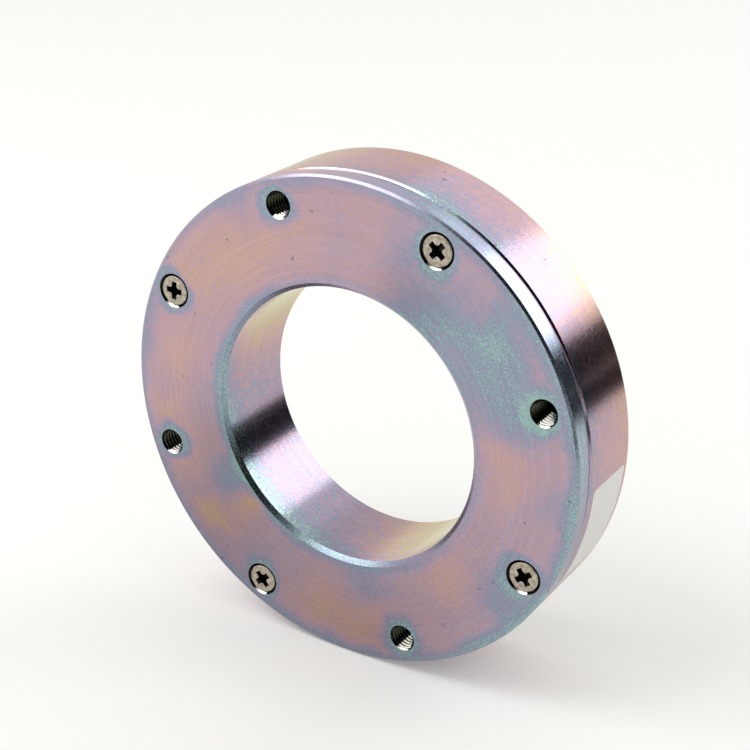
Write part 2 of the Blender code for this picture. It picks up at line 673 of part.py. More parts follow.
def build():
    clear_scene()
    parts = new_collection("permanent_magnet_brake")
    cutters = new_collection("brake_cutters")

    zinc = new_material("zinc_passivated_steel", (0.55, 0.48, 0.52), 0.32, 1.0)
    nickel = new_material("nickel_plated_screw", (0.45, 0.42, 0.36), 0.35, 1.0)
    plastic = new_material("coil_former_plastic", (0.06, 0.06, 0.07), 0.5, 0.0)
    copper = new_material("enamelled_copper", (0.60, 0.25, 0.12), 0.35, 1.0)
    tape = new_material("polyester_tape", (0.65, 0.48, 0.10), 0.4, 0.0)
    brass = new_material("spacer_brass", (0.72, 0.56, 0.26), 0.35, 1.0)
    magnet = new_material("sintered_magnet", (0.35, 0.35, 0.36), 0.35, 1.0)
    lining = new_material("friction_lining", (0.10, 0.085, 0.07), 0.85, 0.0)
    rubber = new_material("black_rubber", (0.02, 0.02, 0.02), 0.6, 0.0)
    foil = new_material("label_foil", (0.80, 0.80, 0.78), 0.4, 0.0)
    bare_steel = new_material("ground_steel", (0.50, 0.50, 0.50), 0.3, 1.0)
    spring_steel = new_material("spring_steel", (0.42, 0.41, 0.38), 0.25, 1.0)
    rivet_steel = new_material("rivet_steel", (0.50, 0.50, 0.48), 0.35, 1.0)

    frame = new_empty("brake_axis", parts)
    frame.location = (0, -TOTAL_LENGTH / 2 * MM, AXIS_HEIGHT * MM)
    frame.rotation_euler = (math.pi / 2, 0, 0)
    rotor = new_empty("rotor_axis", parts, frame)
    slide = new_empty("armature_slide_axis", parts, rotor)

    make_flange(parts, cutters, frame, zinc)
    make_outer_ring(parts, cutters, frame, zinc)
    make_screws(parts, cutters, frame, nickel)
    make_coil(parts, frame, plastic, copper, tape)
    simple_ring(
        "spacer_ring", PACK_INNER_RADIUS, PACK_OUTER_RADIUS, SPACER_FRONT, SPACER_BACK, parts, brass, frame
    )
    make_magnets(parts, frame, magnet)
    simple_ring(
        "friction_lining", PACK_INNER_RADIUS, PACK_OUTER_RADIUS,
        LINING_FRONT, POLE_DEPTH, parts, lining, frame
    )
    make_lead_bush(parts, frame, rubber)
    make_label(parts, frame, foil)
    make_drive_ring(parts, cutters, rotor, bare_steel, rivet_steel)
    make_springs(parts, frame, rotor, spring_steel)
    make_armature(parts, cutters, slide, bare_steel, rivet_steel)


build()
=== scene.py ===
import math

import bpy
from mathutils import Matrix, Vector


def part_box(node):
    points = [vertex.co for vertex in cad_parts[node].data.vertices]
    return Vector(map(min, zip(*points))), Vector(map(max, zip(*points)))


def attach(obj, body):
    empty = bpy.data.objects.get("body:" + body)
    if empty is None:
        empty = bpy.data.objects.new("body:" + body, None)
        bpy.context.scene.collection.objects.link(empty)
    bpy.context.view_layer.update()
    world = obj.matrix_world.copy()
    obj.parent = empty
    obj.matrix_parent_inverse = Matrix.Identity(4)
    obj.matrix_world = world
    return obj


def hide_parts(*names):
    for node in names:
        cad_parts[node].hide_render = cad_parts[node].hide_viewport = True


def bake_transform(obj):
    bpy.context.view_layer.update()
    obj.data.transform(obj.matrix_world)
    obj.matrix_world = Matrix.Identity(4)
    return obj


# A permanent magnet brake with a wide bore: turned and zinc plated steel in front,
# drive ring, leaf springs and armature in the rear recess. Lengths in mm are turned to metres by mm.

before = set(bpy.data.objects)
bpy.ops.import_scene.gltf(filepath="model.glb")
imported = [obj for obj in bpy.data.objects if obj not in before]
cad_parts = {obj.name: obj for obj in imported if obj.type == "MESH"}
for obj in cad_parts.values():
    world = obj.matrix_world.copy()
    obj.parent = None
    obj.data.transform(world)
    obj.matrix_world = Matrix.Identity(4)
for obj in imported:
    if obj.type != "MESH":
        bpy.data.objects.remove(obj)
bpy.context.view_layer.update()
mm = 0.001

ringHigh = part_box("outer_pole_ring")[1]
flangeLow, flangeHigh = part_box("inner_pole_flange")
axisHeight = ringHigh.z / 2  # the rim stands on z = 0
frontY = flangeLow.y
outerRadius = axisHeight / mm
totalLength = (ringHigh.y - frontY) / mm

body = {
    "bore": 31.73,
    "boreChamfer": 1.0,
    "poleRadius": 37.75,
    "poleDepth": 17.15,
    "collarRadius": 33.25,
    "collarDepth": (flangeHigh.y - frontY) / mm,
    "flange": 4.5,
    "flangeChamfer": 0.5,
    "flangeBackEdge": 0.12,
    "ringFront": 4.62,  # the parting line is the dark slit between this and the flange
    "ringChamfer": 1.5,
    "ringLand": 0.4,  # a narrow land behind the parting line lies this much below the body
    "ringPole": 46.0,
    "ringLip": 54.0,
    "rearChamfer": 0.3,
    "sides": 256,
}
holes = {
    "circle": 50.0,
    "tapped": (108, 198, 288, 18),
    "screws": (153, 243, 333, 63),
    "tapDrill": 5.0,
    "thread": 6.0,
    "pitch": 1.0,
    "mouth": 6.2,
    "core": 5.6,  # bore of the tapped holes between the thread's ridges
    "tapDepth": 12.0,
    "point": 1.2,  # of the drill, past that depth
    "crest": 0.09,  # half width of the thread's ridge at its crest and its root, times the pitch
    "root": 0.44,
    "threadTurn": 70.0,  # each thread starts at another angle
    "sink": 8.0,
    "clearance": 4.3,
    "sides": 48,
}


# Modelling helpers, all on the one selected object

def say(stage):
    print("brake:", stage)


def only(obj):
    if bpy.context.object and bpy.context.object.mode != "OBJECT":
        bpy.ops.object.mode_set(mode="OBJECT")
    bpy.ops.object.select_all(action="DESELECT")
    obj.hide_set(False)
    obj.select_set(True)
    bpy.context.view_layer.objects.active = obj
    return obj


def edit(obj, select="DESELECT"):
    only(obj)
    bpy.ops.object.mode_set(mode="EDIT")
    bpy.ops.mesh.select_mode(type="FACE")
    bpy.ops.mesh.select_all(action=select)


def done():
    bpy.ops.object.mode_set(mode="OBJECT")


def applyAll(obj):
    only(obj)
    for modifier in list(obj.modifiers):
        bpy.ops.object.modifier_apply(modifier=modifier.name)


def outward(obj):
    edit(obj, "SELECT")
    bpy.ops.mesh.remove_doubles(threshold=0.002 * mm)
    bpy.ops.mesh.normals_make_consistent(inside=False)
    done()


def turned(name, profile, sides):
    # lathe work: a circle is extruded and resized from one (radius, depth) to the next,
    # about the local Z axis
    radius, depth = profile[0]
    bpy.ops.mesh.primitive_circle_add(vertices=sides, radius=radius * mm, location=(0, 0, depth * mm))
    obj = bpy.context.object
    obj.name = obj.data.name = name
    bpy.ops.object.transform_apply(location=True, rotation=True, scale=True)
    bpy.ops.object.mode_set(mode="EDIT")
    bpy.ops.mesh.select_mode(type="EDGE")
    bpy.ops.mesh.select_all(action="SELECT")
    hollow = profile[0] == profile[-1]
    if not hollow:
        bpy.ops.mesh.edge_face_add()
    for (radius, depth), (nextRadius, nextDepth) in zip(profile, profile[1:]):
        step = {"value": (0, 0, (nextDepth - depth) * mm)}
        bpy.ops.mesh.extrude_region_move(TRANSFORM_OT_translate=step)
        share = nextRadius / radius
        bpy.ops.transform.resize(value=(share, share, 1), center_override=(0, 0, nextDepth * mm))
    bpy.ops.object.mode_set(mode="OBJECT")
    outward(obj)
    return obj


def place(obj, angle=0.0, radius=0.0, turn=0.0):
    # stands the local Z axis along the brake's axis, at a front-view angle and radius,
    # and settles the mesh there with its zero depth at the mounting face
    only(obj)
    spot = math.radians(angle)
    x, z = radius * math.cos(spot) * mm, radius * math.sin(spot) * mm
    obj.matrix_world = (
        Matrix.Translation((x, frontY, axisHeight + z))
        @ Matrix.Rotation(math.radians(-turn), 4, "Y")
        @ Matrix.Rotation(-math.pi / 2, 4, "X")
    )
    bpy.ops.object.transform_apply(location=True, rotation=True, scale=True)
    return obj


def copyOf(obj, name):
    only(obj)
    bpy.ops.object.duplicate()
    twin = bpy.context.object
    twin.name = twin.data.name = name
    return twin


def boolean(obj, tools, operation="DIFFERENCE"):
    for tool in tools:
        only(obj)
        modifier = obj.modifiers.new("cut", "BOOLEAN")
        modifier.operation = operation
        modifier.solver = "EXACT"
        modifier.object = tool
        bpy.ops.object.modifier_apply(modifier=modifier.name)
        bpy.data.objects.remove(tool, do_unlink=True)


def soften(obj, width):
    # breaks the sharp edges and keeps the large faces flat in their shading
    only(obj)
    bevel = obj.modifiers.new("edges", "BEVEL")
    bevel.width = width * mm
    bevel.segments = 2
    bevel.limit_method = "ANGLE"
    bevel.angle_limit = math.radians(28)
    bevel.use_clamp_overlap = True
    applyAll(obj)
    bpy.ops.object.shade_smooth_by_angle(angle=math.radians(32))
    weight = obj.modifiers.new("shading", "WEIGHTED_NORMAL")
    weight.keep_sharp = True
    weight.weight = 100
    applyAll(obj)


def dress(obj, material):
    obj.data.materials.clear()
    obj.data.materials.append(material)


def finishPiece(obj, bodyName, material, replaced=()):
    dress(obj, material)
    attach(obj, bodyName)
    if replaced:
        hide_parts(*replaced)
    return obj


# Materials

def linear(hexColour):
    values = [int(hexColour[k:k + 2], 16) / 255 for k in (1, 3, 5)]
    return [v / 12.92 if v <= 0.04045 else ((v + 0.055) / 1.055) ** 2.4 for v in values] + [1.0]


nodeModes = {
    "Math": "operation",
    "VectorMath": "operation",
    "MapRange": "interpolation_type",
    "Mapping": "vector_type",
    "TexVoronoi": "feature",
}


def addNode(tree, kind, *values, **named):
    # one node and its links: its kind, with its mode after a space, then values or sockets for its
    # inputs, in their order or by name
    kind, _, mode = kind.partition(" ")
    node = tree.nodes.new("ShaderNode" + kind)
    if mode:
        setattr(node, nodeModes[kind], mode)
    for key, value in [*enumerate(values), *named.items()]:
        if isinstance(value, bpy.types.NodeSocket):
            tree.links.new(value, node.inputs[key])
        else:
            node.inputs[key].default_value = value
    return node.outputs[0] if node.outputs else node


def newMaterial(name, shaderSettings):
    material = bpy.data.materials.new(name)
    material.use_nodes = True
    shader = material.node_tree.nodes["Principled BSDF"]
    for key, value in shaderSettings.items():
        shader.inputs[key].default_value = value
    return material, material.node_tree, shader


def setStops(colour, stops):
    # the colours of a ramp, given its output
    elements = colour.node.color_ramp.elements
    while len(elements) > 1:
        elements.remove(elements[-1])
    elements[0].position = stops[0][0]
    elements[0].color = linear(stops[0][1])
    for position, hexColour in stops[1:]:
        elements.new(position).color = linear(hexColour)


def brakePlace(tree):
    # the point on the surface in mm from the middle of the mounting face: across, depth and up
    spot = addNode(tree, "TexCoord").node.outputs["Object"]
    centred = addNode(tree, "Mapping POINT", spot, (0, -frontY, -axisHeight))
    return addNode(tree, "VectorMath SCALE", centred, Scale=1 / mm)


def polarPlace(tree, point):
    # radius in mm, front-view angle in radians, depth in mm
    x, y, z = addNode(tree, "SeparateXYZ", point).node.outputs
    square = addNode(tree, "Math MULTIPLY", z, z)
    square = addNode(tree, "Math MULTIPLY_ADD", x, x, square)
    radius = addNode(tree, "Math SQRT", square)
    angle = addNode(tree, "Math ARCTAN2", z, x)
    return radius, angle, y


def patchSum(tree, point, patches, total):
    # adds soft round patches of a thicker or thinner film, each (across, up, radius, strength) in mm
    for across, up, size, strength in patches:
        off = addNode(tree, "VectorMath DISTANCE", point, (across, 0.0, up)).node.outputs["Value"]
        change = addNode(tree, "MapRange SMOOTHSTEP", off, 0.0, size, strength, 0.0)
        total = addNode(tree, "Math ADD", total, change)
    return total


def holeDistance(tree, radius, angle, firstAngle):
    # distance in mm to the nearest of the four holes that stand 90 degrees apart
    near = addNode(tree, "Math SUBTRACT", angle, math.radians(firstAngle))
    near = addNode(tree, "Math WRAP", near, math.pi / 4, -math.pi / 4)
    reach = addNode(tree, "Math MULTIPLY", radius, addNode(tree, "Math COSINE", near))
    along = addNode(tree, "Math SUBTRACT", reach, holes["circle"])
    aside = addNode(tree, "Math MULTIPLY", radius, addNode(tree, "Math SINE", near))
    square = addNode(tree, "Math MULTIPLY", aside, aside)
    square = addNode(tree, "Math MULTIPLY_ADD", along, along, square)
    return addNode(tree, "Math SQRT", square)


film = {
    # interference colours of the passivation, from the thinnest film to the thickest
    "colours": (
        (0.00, "#BDB97E"),
        (0.10, "#C6AF86"),
        (0.20, "#C7A596"),
        (0.34, "#C09FA4"),
        (0.46, "#B59CAB"),
        (0.58, "#A59BAF"),
        (0.70, "#8F96AE"),
        (0.82, "#93ACB0"),
        (0.92, "#9ABFAE"),
        (1.00, "#B7C6A2"),
    ),
    # thicker and thinner places of the face: across, up, radius, change of thickness
    "patches": (
        (-14, 42, 15, -0.16),
        (-27, 34, 16, -0.17),
        (-39, 27, 14, -0.13),
        (-45, 8, 14, -0.17),
        (-47, -7, 10, -0.20),
        (-44, -21, 8, -0.14),
        (-35, -31, 8, -0.34),
        (-28, -26, 6, -0.26),
        (-6, -46, 13, -0.17),
        (7, -46, 11, -0.16),
        (39, 1, 9, -0.15),
        (25, -30, 9, -0.12),
        (8, 50, 13, -0.06),
        (33, 24, 20, 0.36),
        (39, 30, 11, 0.16),
        (25, 34, 13, 0.16),
        (44, 14, 12, 0.20),
        (17, 29, 9, 0.24),
        (18, 43, 12, 0.16),
        (-30, -19, 10, 0.32),
        (-26, 44, 9, 0.12),
        (6, -37, 12, 0.20),
        (41, -29, 11, 0.28),
        (51, -6, 12, 0.16),
        (-35, 2, 9, 0.12),
        (-24, -42, 12, 0.18),
    ),
    # painted shade: darker places, mostly at the lower left and the bottom, as a share of the brightness
    "paintedLightShade": (
        (-34, -33, 42, -0.32),
        (6, -47, 32, -0.22),
        (16, 32, 15, -0.20),
        (-33, -10, 15, -0.10),
        (30, -28, 22, -0.07),
    ),
    "middle": 0.43,
    "thickest": 0.86,
    # front-view angles in degrees that its uneven places, its painted shade and its painted highlights
    # lie at
    "boreSide": 205,
    "rimSide": -25,
    "paintedShadeSide": 266,
    "thinSide": 128,
    "thickAndLitSide": 66,
    "around": 15,
    "pale": 50,
    "boreThick": 220,
    "grooveMm": 0.8,
    "grainMm": 0.45,
    "mottleMm": 1.2,
    "cloudMm": 20.0,
    "warpMm": 100 / 9,
    "speckMm": 50 / 7,
    "unevenMm": 5 / 7,
    # how far in mm the outlines of the patches, the halos and the specks are warped
    "patchWarp": (14, 14, 14),
    "haloWarp": (7, 7, 7),
    "speckWarp": (3, 3, 3),
    # share of the patches' warp at the rim and the bore, gain of all halos, tint of the turning marks
    "edgeWarp": 0.45,
    "edgeGain": 1.55,
    "markShare": 0.045,
}
halos = {
    # thicker film beside an edge, or about a hole's axis: where it ends and where it is full, in mm,
    # and its strength
    "rim": (4.2, 0.5, 0.30),
    "bore": (4.0, 0.8, 0.34),
    "tapped": (6.6, 3.2, 0.44),
    "screws": (6.8, 4.4, 0.34),
}
scratches = (
    # hairlines on the face: across and up of both ends, half width, depth of the tone
    (-48.5, 7.5, -46.4, 1.0, 0.16, 0.30),
    (-46.4, 1.0, -44.2, -5.4, 0.14, 0.26),
    (-49.6, -12.5, -47.2, -9.0, 0.10, 0.22),
    (-19.0, 30.2, -14.8, 25.6, 0.12, 0.30),
    (-34.5, -26.0, -29.0, -30.5, 0.12, 0.26),
    (-36.0, -28.0, -31.6, -32.6, 0.10, 0.22),
    (-12.2, -36.4, -10.8, -38.2, 0.30, 0.45),
    (12.6, -36.6, 15.4, -38.0, 0.14, 0.30),
    (11.0, -29.4, 13.0, -30.2, 0.12, 0.30),
    (47.0, -10.0, 48.6, -6.6, 0.10, 0.22),
    (16.2, 47.0, 20.5, 45.2, 0.10, 0.20),
)


def scratchSum(tree, point):
    # darkening by thin straight scratches, from the distance to each one's line
    total = 0.0
    for startX, startZ, endX, endZ, halfWidth, tone in scratches:
        start, along = Vector((startX, 0, startZ)), Vector((endX - startX, 0, endZ - startZ))
        away = addNode(tree, "VectorMath SUBTRACT", point, start)
        share = addNode(tree, "VectorMath DOT_PRODUCT", away, along / along.length_squared)
        share = addNode(tree, "Clamp", share.node.outputs["Value"])
        foot = addNode(tree, "VectorMath SCALE", along, Scale=share)
        off = addNode(tree, "VectorMath DISTANCE", away, foot).node.outputs["Value"]
        change = addNode(tree, "MapRange SMOOTHSTEP", off, halfWidth * 0.4, halfWidth * 1.6, tone, 0.0)
        total = addNode(tree, "Math ADD", total, change)
    return total


coats = {
    # roughness, brightness, strength of the fine relief and unevenness of the film in each zone of the
    # turning; the brightness is painted light, which makes the rim and the body lighter copies of the
    # coat
    "face": {"rough": 0.26, "bright": 0.98, "reliefMm": 0.015, "mottle": 0.09, "grain": 0.14},
    "rim": {"rough": 0.18, "bright": 1.20, "reliefMm": 0.011, "mottle": 0.06, "grain": 0.08},
    "body": {"rough": 0.16, "bright": 1.05, "reliefMm": 0.012, "mottle": 0.16, "grain": 0.16},
    "bore": {"rough": 0.15, "bright": 0.98, "reliefMm": 0.015, "mottle": 0.16, "grain": 0.20},
}


def sideShare(tree, angle, side):
    # 1 where the surface lies at this front-view angle in degrees, and -1 opposite
    away = addNode(tree, "Math SUBTRACT", angle, math.radians(side))
    return addNode(tree, "Math COSINE", away)


def zincCoat(name, region):
    # turned steel, zinc plated and passivated: metallic, with pink, tan, blue and green
    # interference colours
    material, tree, shader = newMaterial(name, {"Metallic": 1.0, "Roughness": 0.3})
    point = brakePlace(tree)
    radius, angle, depth = polarPlace(tree, point)
    coat = coats[region]
    if region in ("rim", "body"):
        # the film keeps its tan tone where the surface is seen at a low angle
        shader.inputs["Specular Tint"].default_value = linear("#F0E6DF")

    # slow clouds shift the thickness, and a second noise warps the outlines of the patches
    cloud = addNode(tree, "TexNoise", Vector=point, Scale=1 / film["cloudMm"], Detail=2.0)
    waves = addNode(tree, "TexNoise", Vector=point, Scale=1 / film["warpMm"], Detail=3.0)
    shift = addNode(tree, "VectorMath SUBTRACT", waves.node.outputs["Color"], (0.5, 0.5, 0.5))
    warped = addNode(tree, "VectorMath MULTIPLY_ADD", shift, film["patchWarp"], point)
    cloudy = addNode(tree, "MapRange LINEAR", cloud, 0.3, 0.7, -0.06, 0.06)
    paintedLightShade = 1.0
    if region == "face":
        middle = addNode(tree, "Math ADD", cloudy, film["middle"])
        thickness = patchSum(tree, warped, film["patches"], middle)
        warpedRadius = polarPlace(tree, warped)[0]
        wave = addNode(tree, "Math SUBTRACT", warpedRadius, radius)
        edgeRadius = addNode(tree, "Math MULTIPLY_ADD", wave, film["edgeWarp"], radius)
        ends, full, strength = halos["rim"]
        start, end = outerRadius - ends, outerRadius - full
        rimHalo = addNode(tree, "MapRange SMOOTHSTEP", edgeRadius, start, end, 0.0, strength)
        ends, full, strength = halos["bore"]
        start, end = body["bore"] + ends, body["bore"] + full
        boreHalo = addNode(tree, "MapRange SMOOTHSTEP", edgeRadius, start, end, 0.0, strength)
        # both are broadest on one side: the bore's at the lower left, the rim's at the lower right
        boreSide = sideShare(tree, angle, film["boreSide"])
        boreShare = addNode(tree, "MapRange LINEAR", boreSide, -0.6, 1.0, 0.45, 1.25)
        boreHalo = addNode(tree, "Math MULTIPLY", boreHalo, boreShare)
        rimSide = sideShare(tree, angle, film["rimSide"])
        rimShare = addNode(tree, "MapRange LINEAR", rimSide, -1.0, 1.0, 0.65, 1.25)
        rimHalo = addNode(tree, "Math MULTIPLY", rimHalo, rimShare)
        nearPoint = addNode(tree, "VectorMath MULTIPLY_ADD", shift, film["haloWarp"], point)
        near = polarPlace(tree, nearPoint)[:2]
        tapAway = holeDistance(tree, *near, holes["tapped"][0])
        screwAway = holeDistance(tree, *near, holes["screws"][0])
        ends, full, strength = halos["tapped"]
        tapHalo = addNode(tree, "MapRange SMOOTHSTEP", tapAway, ends, full, 0.0, strength)
        ends, full, strength = halos["screws"]
        screwHalo = addNode(tree, "MapRange SMOOTHSTEP", screwAway, ends, full, 0.0, strength)
        holeHalo = addNode(tree, "Math MAXIMUM", tapHalo, screwHalo)
        edges = addNode(tree, "Math MAXIMUM", rimHalo, boreHalo)
        edges = addNode(tree, "Math MAXIMUM", edges, holeHalo)
        # where the film is thick already, the edges add less to it
        room = addNode(tree, "Math SUBTRACT", 1.0, thickness)
        added = addNode(tree, "Math MULTIPLY", edges, room)
        thickness = addNode(tree, "Math MULTIPLY_ADD", added, film["edgeGain"], thickness)
        # painted shade: the face is darker at the lower left and the bottom
        paintedLightShade = patchSum(tree, point, film["paintedLightShade"], 1.0)
    elif region == "bore":
        # thickest where the bore faces up and right, thinnest towards its sides
        away = addNode(tree, "Math SUBTRACT", angle, math.radians(film["boreThick"]))
        away = addNode(tree, "Math ABSOLUTE", addNode(tree, "Math WRAP", away, math.pi, -math.pi))
        start, end = math.radians(28), math.radians(84)
        lower = addNode(tree, "MapRange SMOOTHSTEP", away, start, end, 0.55, 0.0)
        start, end = math.radians(95), math.radians(150)
        upper = addNode(tree, "MapRange SMOOTHSTEP", away, start, end, 0.0, 0.45)
        both = addNode(tree, "Math ADD", lower, upper)
        thickness = addNode(tree, "Math ADD", both, addNode(tree, "Math MULTIPLY", cloudy, 0.7))
        frontHalo = addNode(tree, "MapRange SMOOTHSTEP", depth, 8.5, 1.0, 0.0, 0.24)
        # painted shade: the bore is darker at its bottom
        paintedShadeSide = sideShare(tree, angle, film["paintedShadeSide"])
        paintedLightShade = addNode(tree, "MapRange SMOOTHSTEP", paintedShadeSide, 0.94, 0.995, 1.0, 0.78)
        thickness = addNode(tree, "Math ADD", thickness, frontHalo)
    elif region == "body":
        # lilac behind the parting line, then pink, and tan towards the rear
        along = addNode(tree, "MapRange SMOOTHSTEP", depth, 4.6, 12.0, 0.60, 0.42)
        rear = addNode(tree, "MapRange SMOOTHSTEP", depth, 12.0, 22.0, 0.0, -0.10)
        both = addNode(tree, "Math ADD", along, rear)
        thickness = addNode(tree, "Math ADD", both, addNode(tree, "Math MULTIPLY", cloudy, 1.6))
        # thinnest over the upper left, thickest at the upper right
        thinSide = sideShare(tree, angle, film["thinSide"])
        thinner = addNode(tree, "MapRange SMOOTHSTEP", thinSide, 0.80, 0.97, 0.0, 0.22)
        thickness = addNode(tree, "Math SUBTRACT", thickness, thinner)
        thickAndLitSide = sideShare(tree, angle, film["thickAndLitSide"])
        thicker = addNode(tree, "MapRange SMOOTHSTEP", thickAndLitSide, 0.955, 0.995, 0.0, 0.12)
        thickness = addNode(tree, "Math ADD", thickness, thicker)
        # painted highlight: the body is lighter in a narrow band at the upper right
        paintedLightShade = addNode(tree, "MapRange SMOOTHSTEP", thickAndLitSide, 0.965, 0.993, 1.0, 1.28)
    else:
        around = sideShare(tree, angle, film["around"])
        along = addNode(tree, "MapRange LINEAR", around, -1.0, 1.0, 0.34, 0.74)
        thickness = addNode(tree, "Math ADD", along, cloudy)
        # painted highlight: the rim is lighter at the upper right
        pale = sideShare(tree, angle, film["pale"])
        paintedLightShade = addNode(tree, "MapRange SMOOTHSTEP", pale, 0.93, 0.98, 1.0, 1.42)

    # turning marks: fine rings that follow the cutting tool and tint the film a little, drawn
    # coarser than the real ones so that they show in the picture
    ringPoint = addNode(tree, "CombineXYZ", radius, addNode(tree, "Math MULTIPLY", angle, 1.2), depth)
    grooves, grains, spots = 1 / film["grooveMm"], 1 / film["grainMm"], 1 / film["mottleMm"]
    marks = addNode(tree, "TexNoise", Vector=ringPoint, Scale=grooves, Detail=4.0, Roughness=0.7)
    grain = addNode(tree, "TexNoise", Vector=point, Scale=grains, Detail=2.0, Roughness=0.6)
    mottle = addNode(tree, "TexNoise", Vector=point, Scale=spots, Detail=3.0, Roughness=0.65)
    for pattern, share in ((marks, film["markShare"]), (mottle, coat["mottle"]), (grain, coat["grain"])):
        change = addNode(tree, "MapRange LINEAR", pattern, 0.3, 0.7, -share, share)
        thickness = addNode(tree, "Math ADD", thickness, change)
    if region == "face":
        # the film of the face nowhere grows past its blue-green stage
        thickness = addNode(tree, "Math MINIMUM", thickness, film["thickest"])
    colour = addNode(tree, "ValToRGB", thickness)
    setStops(colour, film["colours"])

    # tone: turning marks, small dark specks of uneven size, scratches, and painted shade and highlights
    speckPoint = addNode(tree, "VectorMath MULTIPLY_ADD", shift, film["speckWarp"], point)
    cells = addNode(tree, "TexVoronoi F1", Vector=speckPoint, Scale=1 / film["speckMm"])
    uneven = addNode(tree, "TexNoise", Vector=point, Scale=1 / film["unevenMm"], Detail=2.0)
    speck = addNode(tree, "Math MULTIPLY_ADD", uneven, 0.16, cells)
    tone = addNode(tree, "MapRange LINEAR", speck, 0.10, 0.15, 0.55, 1.0)
    for pattern in (marks, grain):
        change = addNode(tree, "MapRange LINEAR", pattern, 0.25, 0.75, 0.90, 1.10)
        tone = addNode(tree, "Math MULTIPLY", tone, change)
    tone = addNode(tree, "Math MULTIPLY", tone, paintedLightShade)
    if region == "face":
        tone = addNode(tree, "Math SUBTRACT", tone, scratchSum(tree, warped))
    tone = addNode(tree, "Math MULTIPLY", tone, coat["bright"])
    tinted = addNode(tree, "VectorMath SCALE", colour, Scale=tone)
    tree.links.new(tinted, shader.inputs["Base Color"])

    smooth, dry = coat["rough"] - 0.03, coat["rough"] + 0.05
    rough = addNode(tree, "MapRange LINEAR", grain, 0.3, 0.7, smooth, dry)
    tree.links.new(rough, shader.inputs["Roughness"])
    height = addNode(tree, "Math MULTIPLY_ADD", marks, 0.7, grain)
    bump = addNode(tree, "Bump", Height=height, Strength=1.0, Distance=coat["reliefMm"] * mm)
    tree.links.new(bump, shader.inputs["Normal"])
    return material


def brushedMetal(name, colour, settings):
    # plain metal with fine marks along its finishing direction
    material, tree, shader = newMaterial(name, {"Metallic": 1.0, "Roughness": settings["rough"]})
    point = brakePlace(tree)
    stretched = addNode(tree, "Mapping", point, Scale=settings.get("stretch", (1.0, 1.0, 1.0)))
    fine, coarse = 1 / settings["markMm"], 1 / settings.get("cloudMm", 8.0)
    marks = addNode(tree, "TexNoise", Vector=stretched, Scale=fine, Detail=3.0, Roughness=0.6)
    clouds = addNode(tree, "TexNoise", Vector=point, Scale=coarse, Detail=2.0)
    # the clouds take the colour from its darkest to its brightest share
    tone = addNode(tree, "MapRange LINEAR", clouds, 0.25, 0.75, *settings.get("spread", (0.88, 1.08)))
    tinted = addNode(tree, "VectorMath SCALE", linear(colour)[:3], Scale=tone)
    tree.links.new(tinted, shader.inputs["Base Color"])
    smooth, dry = settings["rough"] - 0.05, settings["rough"] + 0.07
    rough = addNode(tree, "MapRange LINEAR", marks, 0.3, 0.7, smooth, dry)
    tree.links.new(rough, shader.inputs["Roughness"])
    bump = addNode(tree, "Bump", Height=marks, Distance=settings["bumpMm"] * mm)
    tree.links.new(bump, shader.inputs["Normal"])
    return material


def mottled(name, colours, settings):
    # a dull material with grains of a few shades, such as moulded plastic, rubber, lining or magnet
    look = {
        "Metallic": settings.get("metal", 0.0),
        "Roughness": settings["rough"],
        "Sheen Weight": settings.get("sheen", 0.0),
    }
    material, tree, shader = newMaterial(name, look)
    point = brakePlace(tree)
    grains = 1 / settings["grainMm"]
    grain = addNode(tree, "TexNoise", Vector=point, Scale=grains, Detail=4.0, Roughness=0.6)
    colour = addNode(tree, "ValToRGB", grain)
    setStops(colour, ((0.35, colours[0]), (0.65, colours[1])))
    tree.links.new(colour, shader.inputs["Base Color"])
    smooth, dry = settings["rough"] - 0.04, settings["rough"] + 0.06
    rough = addNode(tree, "MapRange LINEAR", grain, 0.3, 0.7, dry, smooth)
    tree.links.new(rough, shader.inputs["Roughness"])
    bump = addNode(tree, "Bump", Height=grain, Distance=settings["bumpMm"] * mm)
    tree.links.new(bump, shader.inputs["Normal"])
    return material


zincFace = zincCoat("zincPassivatedFace", "face")
zincRim = zincCoat("zincPassivatedRim", "rim")
zincBody = zincCoat("zincPassivatedBody", "body")
zincBore = zincCoat("zincPassivatedBore", "bore")
# nickel plated heads are blotched by handling; the walls of the holes and recesses get dark metal as
# painted shade, and their lower lips get bright metal as painted glints
fineMarks = {"markMm": 0.5, "bumpMm": 0.004}
nickelLook = {"rough": 0.34, "markMm": 0.5, "bumpMm": 0.006, "cloudMm": 0.9, "spread": (0.50, 1.30)}
nickel = brushedMetal("nickelPlatedScrew", "#B8AD9E", nickelLook)
paintedShadeWall = brushedMetal("paintedShadeHoleWall", "#1F1F1C", {"rough": 0.2, **fineMarks})
paintedShadeRecess = brushedMetal("paintedShadeRecessWall", "#26231F", {"rough": 0.2, **fineMarks})
paintedGlint = brushedMetal("paintedGlintHoleLip", "#EDEBE2", {"rough": 0.22, **fineMarks})
dimGlintCrest = brushedMetal("paintedDimGlintCrest", "#45473B", {"rough": 0.3, **fineMarks})
groundLook = {"rough": 0.28, "markMm": 0.4, "bumpMm": 0.004, "stretch": (0.06, 1, 1)}
groundSteel = brushedMetal("groundSteel", "#B9B8B4", groundLook)
springLook = {"rough": 0.24, "markMm": 0.4, "bumpMm": 0.003, "stretch": (1, 1, 0.06)}
springSteel = brushedMetal("coldRolledSpringSteel", "#A8A59C", springLook)
rivetSteel = brushedMetal("headedRivetSteel", "#BDBAB2", {"rough": 0.3, **fineMarks})
wireLook = {"rough": 0.3, "markMm": 0.3, "bumpMm": 0.02, "stretch": (0.1, 1, 0.1)}
copper = brushedMetal("enamelledCopperWire", "#B4643C", wireLook)
brass = brushedMetal("rolledBrassSpacer", "#C9A95E", {"rough": 0.3, "markMm": 0.4, "bumpMm": 0.004})
